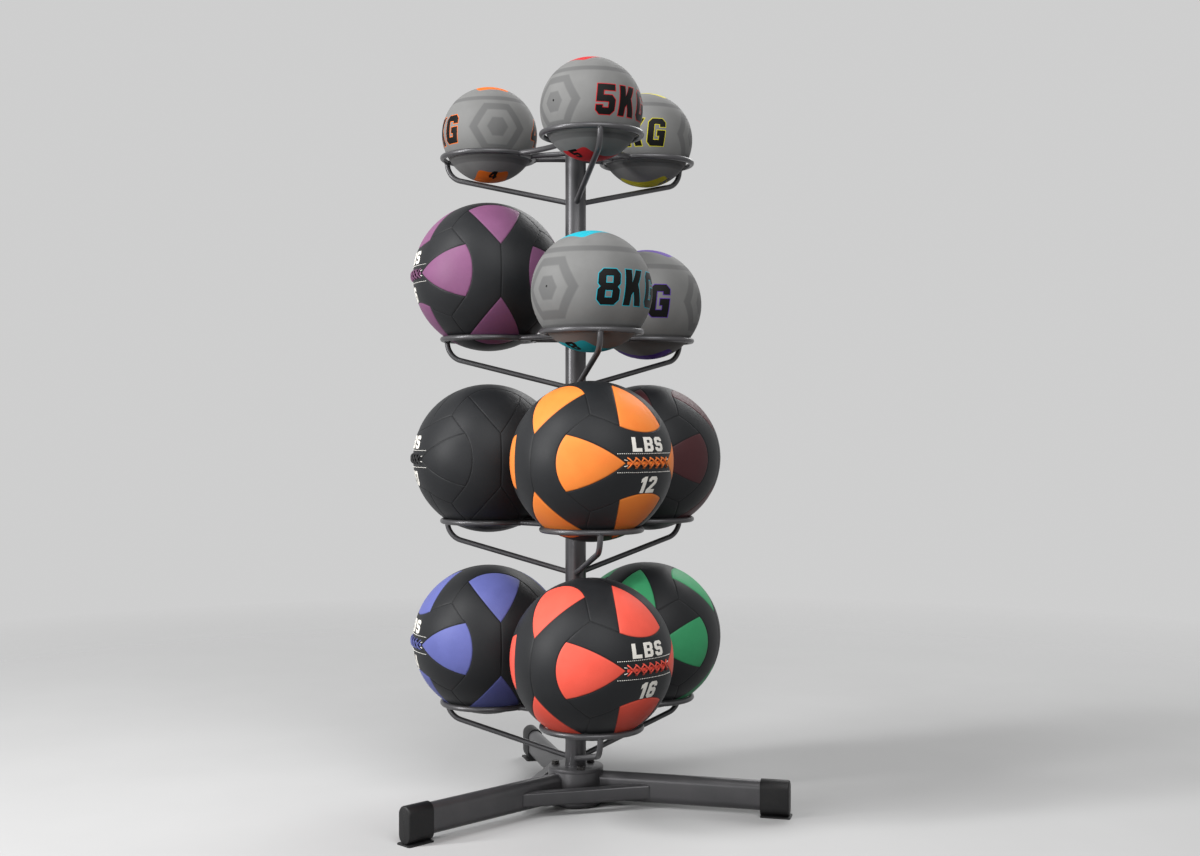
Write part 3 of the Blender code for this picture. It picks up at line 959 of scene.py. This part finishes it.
def make_patch(*skins):
    """One twenty-fourth of the ball, cut along the seams and beside them, and pressed in there."""
    clear_bench()
    bpy.ops.mesh.primitive_grid_add(x_subdivisions=PATCH, y_subdivisions=PATCH, size=1.0)
    patch = named("wall_ball_patch")
    paint(patch, *skins)
    for vertex in patch.data.vertices:
        across, up = ((value + 0.5) * pi / 4 for value in vertex.co.xy)
        vertex.co = unit(1.0, tan(across), tan(up)) * WALL
    for target in (TIP, CORNER_C):
        nearest = min(patch.data.vertices, key=lambda vertex: (vertex.co - target * WALL).length)
        nearest.co = target * WALL
    for vertex in patch.data.vertices:
        if on_border(vertex.co) or (vertex.co - CORNER_C * WALL).length < 1e-6:
            continue
        for seam in SEAMS[1:5]:
            spot = vertex.co.normalized()
            if seam.distance([spot])[0] < SNAP:
                flat = (spot - seam.pole * spot.dot(seam.pole)).normalized()
                vertex.co = WALL * (seam.pole * seam.height + flat * sqrt(1 - seam.height ** 2))

    open_up(patch)
    for offset in SEAM_CUTS:
        for seam in SEAMS:
            height = cos(acos(seam.height) + offset / WALL)
            pick(patch, "FACE", lambda face: beside(seam, face.calc_center_median().normalized()))
            bpy.ops.mesh.bisect(plane_co=seam.pole * height * WALL, plane_no=seam.pole)
    close_up()

    units = np.array([vertex.co.normalized() for vertex in patch.data.vertices])
    near = np.min([seam.distance(units) for seam in SEAMS], axis=0)
    inside = np.clip(1 - near / GROOVE[1], 0, None)
    sunk = GROOVE[0] * inside ** 1.5 + PUCKER[0] * np.exp(-near / PUCKER[1])
    patch.data.vertices.foreach_set("co", (units * (WALL - sunk)[:, None]).ravel())
    # The seam attribute holds each groove's profile, which the vinyl uses for painted shade in the groove.
    patch.data.attributes.new("seam", "FLOAT", "POINT").data.foreach_set("value", inside)
    for face in patch.data.polygons:
        face.material_index = 1 if in_coloured_panel(face.center.normalized()) else 0
    return patch


def make_wall_ball(*skins):
    """The whole ball: the patch mirrored to eight, and turned to three places about the diagonal."""
    patch = make_patch(*skins)
    work(patch, "MIRROR", use_axis=(True, True, True), merge_threshold=0.00005)
    diagonal = Vector((1.0, 1.0, 1.0))
    others = [copy_of(patch, "wall_ball_turned", turned(turn, diagonal)) for turn in (120, 240)]
    ball = join("wall_ball", [patch] + others)
    seal(ball, 0.0002)
    bpy.ops.object.shade_smooth()
    return ball


def sagging():
    """A stuffed ball settles a little on its ring."""
    down = Matrix.Translation((0.0, 0.0, -SAG_PLANE))
    return down @ Matrix.Diagonal((1.0, 1.0, SAG, 1.0)) @ down.inverted()


def on_ball(azimuth, elevation, radius=WALL):
    """A point in a ball's own axes: azimuth to the right of the face's middle, in degrees."""
    turn, rise = radians(azimuth), radians(elevation)
    return Vector((cos(rise) * cos(turn), cos(rise) * sin(turn), sin(rise))) * radius


# What is sewn on the face: its sizes in pairs are degrees, lengthways and across

CROSSINGS = 6
LACED = (18.4, 3.9)  # half the lacing's size
LACE_REACH = 0.62  # of a strand to each side of its crossing, in steps
LACE = 0.0017
LACE_SUNK = 0.0022  # at a strand's ends
LACE_RISES = (0.0042, 0.0068)  # of the lower and of the upper strand of a crossing
TONGUE = (38.4, 2.6)


def make_lacing():
    """Crossed pairs of strands over the middle seam of one face."""
    strands = []
    length, spread = LACED
    step = 2 * length / CROSSINGS
    for i in range(CROSSINGS):
        centre = -length + (i + 0.5) * step
        for sign, rise in zip((1, -1), LACE_RISES):
            points = []
            for k in range(13):
                t = k / 6 - 1
                points.append(on_ball(centre + t * step * LACE_REACH, sign * t * spread,
                                      WALL - LACE_SUNK + rise * (1 - t ** 4)))
            strands.append(round_line("lace_strand", points, LACE))
    return join("lacing", strands)


def make_tongue():
    """The narrow strip that shows between the laced edges."""
    clear_bench()
    bpy.ops.mesh.primitive_grid_add(x_subdivisions=36, y_subdivisions=4, size=1.0)
    tongue = named("lacing_tongue")
    for vertex in tongue.data.vertices:
        across, up = vertex.co.xy
        vertex.co = on_ball(across * TONGUE[0], up * TONGUE[1], WALL + 0.0003 - 0.0008 * abs(2 * up) ** 3)
    work(tongue, "SOLIDIFY", thickness=0.0008, offset=-1.0)
    seal(tongue)
    smooth(tongue, 40)
    return tongue


STITCHES = 34
STITCHED = (26.6, 6.4)  # half a row's length, and from the middle seam to a row
STITCH = 0.42  # its length, as a share of the pitch
TACK = (21.3, 2.3)  # from the middle of the lacing to a bar tack's outer end
THREAD = 0.0009


def make_stitching():
    """Two rows of stitches beside the lacing, and two bar tacks past each of its ends."""
    stitches = []
    length, side = STITCHED
    half = length / STITCHES
    for row in (-side, side):
        for i in range(STITCHES):
            centre = -length + 2 * length * i / STITCHES + half
            points = [on_ball(centre + t * (half * STITCH), row, WALL - 0.0003 + 0.0008 * (1 - t * t))
                      for t in (-1, -0.5, 0, 0.5, 1)]
            stitches.append(round_line("stitch", points, THREAD, rings=0))
    for end in (-1, 1):
        for sign in (-1, 1):
            points = [on_ball(end * (TACK[0] - 0.6 * k), sign * TACK[1] * (1 - 0.06 * k), WALL + 0.0004)
                      for k in range(5)]
            stitches.append(round_line("bar_tack", points, THREAD, rings=1))
    return join("stitching", stitches)


def hole(low, high):
    return [(1.7, low), (1.7, high), (3.3, high), (3.3, low)]


FOOT = [(1, 0), (4, 0), (5, 1)]
HOOK = [(3.3, 1.5), (1.7, 1.5), (1.7, 2.1), (0, 2.1), (0, 1)]
WAIST = [(5, 2.9), (4.4, 3.5), (5, 4.1)]
BEAK = [(1.7, 5.5), (3.3, 5.5), (3.3, 4.9), (5, 4.9)]
CROWN = [(5, 6), (4, 7), (1, 7), (0, 6)]
FIGURES = {  # outlines on a grid 5 wide and 7 high; holes run clockwise
    "0": [[*FOOT, *CROWN, (0, 1)], hole(1.5, 5.5)],
    "1": [[(1.3, 0), (3.1, 0), (3.1, 7), (1.7, 7), (0.2, 6), (0.2, 4.4), (1.3, 4.9)]],
    "2": [[(0, 0), (5, 0), (5, 1.5), (2.3, 1.5), (5, 4.2), *CROWN, (0, 4.9), (1.7, 4.9), (1.7, 5.5),
           (3.3, 5.5), (3.3, 4.7), (0, 1.5)]],
    "4": [[(2.8, 0), (4.4, 0), (4.4, 1.5), (5.1, 1.5), (5.1, 2.9), (4.4, 2.9), (4.4, 7), (2.4, 7),
           (0, 3.1), (0, 1.5), (2.8, 1.5)], [(2.8, 2.9), (1.5, 2.9), (2.8, 5)]],
    "5": [[*FOOT, (5, 3.4), (4, 4.4), (1.7, 4.4), (1.7, 5.5), (4.8, 5.5), (4.8, 7), (0, 7), (0, 2.9),
           (3.3, 2.9), *HOOK]],
    "6": [[*FOOT, (5, 3.4), (4, 4.4), (1.7, 4.4), *BEAK, *CROWN, (0, 1)], hole(1.5, 2.9)],
    "8": [[*FOOT, *WAIST, *CROWN, (0, 4.1), (0.6, 3.5), (0, 2.9), (0, 1)], hole(1.4, 2.8), hole(4.2, 5.6)],
    "9": [[*FOOT, *CROWN, (0, 3.6), (1, 2.6), (3.3, 2.6), *HOOK], hole(4.1, 5.5)],
    "K": [[(0, 0), (1.8, 0), (1.8, 2), (2.3, 2.7), (3.2, 0), (5.2, 0), (3.6, 4.2), (5.1, 7), (3.1, 7),
           (1.8, 4.5), (1.8, 7), (0, 7)]],
    "G": [[(1, 0), (5, 0), (5, 3.9), (2.6, 3.9), (2.6, 2.5), (3.3, 2.5), (3.3, 1.5), (1.7, 1.5),
           (1.7, 5.5), (3.3, 5.5), (3.3, 4.8), (5, 4.8), *CROWN, (0, 1)]],
    "L": [[(0, 0), (4.6, 0), (4.6, 1.7), (1.8, 1.7), (1.8, 7), (0, 7)]],
    "B": [[(0, 0), (4, 0), (5, 1), *WAIST, (5, 6), (4, 7), (0, 7)], hole(1.4, 2.8), hole(4.2, 5.6)],
    "S": [[*FOOT, (5, 3.3), (4, 4.3), (1.7, 4.3), *BEAK, *CROWN, (0, 3.7), (1, 2.7), (3.3, 2.7), *HOOK]],
}
FIGURE_GAP = 1.3
FIGURE_CELL = 0.005
FIRST_CUT = 0.43  # in cells, so that no cut runs along a figure's own edge
PRINT = 0.0006  # a print's thickness


def grown(outline_points, by):
    """A closed outline with each of its sides moved outwards."""
    moved = []
    spots = [Vector(spot) for spot in outline_points]
    for before, here, after in zip(spots[-1:] + spots[:-1], spots, spots[1:] + spots[:1]):
        first, second = (Vector((side.y, -side.x)).normalized() for side in (here - before, after - here))
        both = first + second
        moved.append(here + both * (by / max(both.dot(first), 0.5)))
    return moved


def draw_figures(name, words, height, slant, width, edge):
    """Block figures about the origin, as one flat filled drawing."""
    scale = height / 7
    across = 0.0
    outlines = []
    for letter in words:
        outlines += [[(x + across, y) for x, y in points] for points in FIGURES[letter]]
        across = max(x for x, _ in outlines[-len(FIGURES[letter])]) + FIGURE_GAP
    half = (across - FIGURE_GAP) / 2
    lines = []
    for points in outlines:
        points = grown([((x - half) * width * scale, (y - 3.5) * scale) for x, y in points], edge)
        lines.append([(x + slant * y, y, 0.0) for x, y in points])
    return drawn(name, lines, True, dimensions="2D", fill_mode="BOTH")


def print_on_ball(name, words, radius, height, elevation, azimuth=0.0, slant=0.0, width=1.0, edge=0.0,
                  lift=0.0004):
    """Figures cut into small cells, laid on a ball and given some thickness."""
    figures = draw_figures(name, words, height, slant, width, edge)
    spots = [vertex.co for vertex in figures.data.vertices]
    open_up(figures)
    bpy.ops.mesh.remove_doubles(threshold=0.000001)
    for k, axis in enumerate((Vector((1, 0, 0)), Vector((0, 1, 0)))):
        low, high = min(spot[k] for spot in spots), max(spot[k] for spot in spots)
        for step in range(int((high - low) / FIGURE_CELL)):
            bpy.ops.mesh.select_all(action="SELECT")
            bpy.ops.mesh.bisect(plane_co=axis * (low + FIGURE_CELL * (step + FIRST_CUT)), plane_no=axis)
    close_up()
    for vertex in figures.data.vertices:
        spot = vertex.co
        vertex.co = on_ball(azimuth + degrees(spot.x / radius), elevation + degrees(spot.y / radius),
                            radius + lift)
    open_up(figures)
    bpy.ops.mesh.remove_doubles(threshold=0.00002)
    close_up()
    work(figures, "SOLIDIFY", thickness=PRINT, offset=-1.0)
    smooth(figures, 40)
    return figures


WALL_MARKS = {
    "number": {"height": 0.036, "elevation": -15.2, "slant": 0.2},
    "unit": {"height": 0.0315, "elevation": 12.8, "width": 1.18},
}


def build_wall_balls():
    """Each ball's skin, lacing, tongue and stitching, copied from one set, and its printed weight."""
    charcoal = vinyl("charcoal")
    skins = {colour: vinyl(colour) for colour in VINYLS if colour != "charcoal"}
    cotton = thread()
    cream = print_ink("cream_print", (250, 246, 238))
    ball = make_wall_ball(charcoal, skins["orange"])
    lacing, tongue, stitching = make_lacing(), make_tongue(), make_stitching()
    for node, (colour, weight) in WALL_BALLS.items():
        tag = node[len("ball_"):]
        place = placing(ball_azimuth(node), middle(node)) @ sagging()
        skin = copy_of(ball, "wall_ball_" + tag, place)
        fit(skin, [charcoal, skins[colour]], node, "black_vinyl", node)
        for template, name, finish in ((lacing, "lacing_", lace(colour)),
                                       (tongue, "lacing_tongue_", skins[colour]),
                                       (stitching, "stitching_", cotton)):
            fit(copy_of(template, name + tag, place), [finish], node, "black_vinyl")
        for part, words in (("number", weight), ("unit", "LBS")):
            mark = print_on_ball(f"weight_{part}_{tag}", words, WALL, **WALL_MARKS[part])
            fit(settle(mark, place), [cream], node, "black_vinyl")
    throw_away(ball, lacing, tongue, stitching)


# Rubber medicine balls

VALVE = 0.0026
PRINTS = {"outline": (0.0017, 0.0001), "figures": (0.0, 0.0004)}  # each layer's edge and lift


def make_rubber_ball(name, radius):
    """A moulded ball with a sunk valve on its equator."""
    clear_bench()
    bpy.ops.mesh.primitive_uv_sphere_add(segments=128, ring_count=64, radius=radius)
    ball = settle(named(name))
    clear_bench()
    bpy.ops.mesh.primitive_cylinder_add(vertices=24, radius=VALVE, depth=0.02,
                                        location=on_ball(-90.0, 1.5, radius),
                                        rotation=(radians(90), 0.0, 0.0))
    drill = settle(named("valve_drill"))
    work(ball, "BOOLEAN", object=drill, operation="DIFFERENCE", solver="EXACT")
    throw_away(drill)
    smooth(ball, 40)
    return ball


def build_rubber_balls():
    """Each ball, the outlined weight on two of its sides, and the small figures on its bottom patch."""
    black = print_ink("black_figures", (6, 6, 6))
    for node, (accent, weight) in RUBBER_BALLS.items():
        tag = node[len("ball_"):]
        radius = ball_radius(node)
        place = placing(ball_azimuth(node), middle(node))
        ball = settle(make_rubber_ball("rubber_ball_" + tag, radius), place)
        fit(ball, [rubber(node, accent)], node, "grey_rubber", node)
        inks = {"outline": print_ink("edging_" + accent, ACCENTS[accent]), "figures": black}
        for side, azimuth in (("a", 0.0), ("b", 180.0)):
            for layer, (edge, lift) in PRINTS.items():
                words = print_on_ball(f"{layer}_{side}_{tag}", weight, radius, 0.58 * radius, 0.0, azimuth,
                                      slant=0.1, width=0.9, edge=edge, lift=lift)
                fit(settle(words, place), [inks[layer]], node, "grey_rubber")
        for side, azimuth in (("a", 90.0), ("b", -90.0)):
            digit = print_on_ball(f"foot_figure_{side}_{tag}", weight[0], radius, 0.28 * radius, -66.0,
                                  azimuth, width=2.2)
            fit(settle(digit, place), [black], node, "grey_rubber")


# Stage, light and camera

FLOOR = 6.0
FADE = (2.6, 3.0)  # middle and width of the ring in which the floor fades out
SKY = (0.09, 0.62)  # how strongly it lights the rack, and how bright it looks
SOFTBOXES = {  # place, height of the aim on the column's line, size, power
    "key_softbox": ((-3.92, -2.11, 4.92), 0.9, (1.7, 1.7), 205.0),
    "front_softbox": ((1.1, -4.2, 4.3), 0.9, (4.4, 4.4), 240.0),
    "side_softbox": ((-4.64, -1.87, 2.0), 1.1, (0.5, 2.0), 180.0),
    "low_softbox": ((-2.35, -4.1, 0.62), 0.4, (1.1, 1.1), 26.0),
    "back_softbox": ((1.9, 4.0, 4.6), 0.9, (3.4, 3.4), 140.0),
}
LENS = 44.18
SHIFT = -0.0043
CAMERA = (0.0565, -3.4167, 0.8807)  # from the column's foot


def build_floor():
    """A pale floor that lights the rack less than it shows, and fades into the backdrop."""
    clear_bench()
    bpy.ops.mesh.primitive_circle_add(vertices=96, radius=FLOOR, fill_type="NGON",
                                      location=(0.0, 0.0, -0.0002))
    floor = named("studio_floor")
    ground = Finish("studio_floor", roughness=0.9, specular_ior_level=0.1)
    x, y, _ = ground.axes(ground.here())
    reach = (x * x + y * y).power(0.5)
    cloth = ground.noise(0.4)
    pale = ground.mix(cloth, shade(190, 190, 190), shade(198, 198, 198))
    ground.set("Base Color", ground.mix(ground.seen(), shade(50, 50, 50), pale))
    clear = ground.node("BsdfTransparent")
    fade = ground.node("MixShader", inputs={0: reach.over(*FADE), 1: ground.shader.outputs[0],
                                            2: clear.outputs[0]})
    ground.feed(ground.tree.nodes["Material Output"].inputs["Surface"], fade.outputs[0])
    paint(floor, ground.material)


def build_backdrop():
    """A white sky that looks brighter than it shines."""
    sky = Finish("studio", "worlds", "Background", color=(1.0, 1.0, 1.0, 1.0))
    level = sky.node("Mix", inputs={0: sky.seen(), 2: SKY[0], 3: SKY[1]})
    sky.set("Strength", level.outputs[0])
    bpy.context.scene.world = sky.material


def build_lights():
    for name, (at, aim, size, power) in SOFTBOXES.items():
        lamp = bpy.data.lights.new(name, "AREA")
        lamp.shape = "RECTANGLE"
        lamp.size, lamp.size_y = size
        lamp.energy = power
        box = new_object(name, lamp)
        box.visible_camera = False
        box.location = at
        box.rotation_euler = (Vector((0.0, 0.0, aim)) - Vector(at)).to_track_quat("-Z", "Y").to_euler()


def build_camera():
    lens = bpy.data.cameras.new("camera")
    lens.lens = LENS
    lens.sensor_width = 36.0
    lens.shift_y = SHIFT
    camera = new_object("camera", lens)
    camera.location = column_foot() + Vector(CAMERA)
    camera.rotation_euler = (radians(90), 0.0, 0.0)
    bpy.context.scene.camera = camera


bpy.context.scene.view_settings.view_transform = "Standard"
build_camera()
coat, bead, plastic = powder_coat(), weld_metal(), moulded_plastic()
build_tiers(coat, bead)
build_column(coat, plastic)
build_base(coat, bead, plastic, blackened_steel())
build_wall_balls()
build_rubber_balls()
build_floor()
build_backdrop()
build_lights()
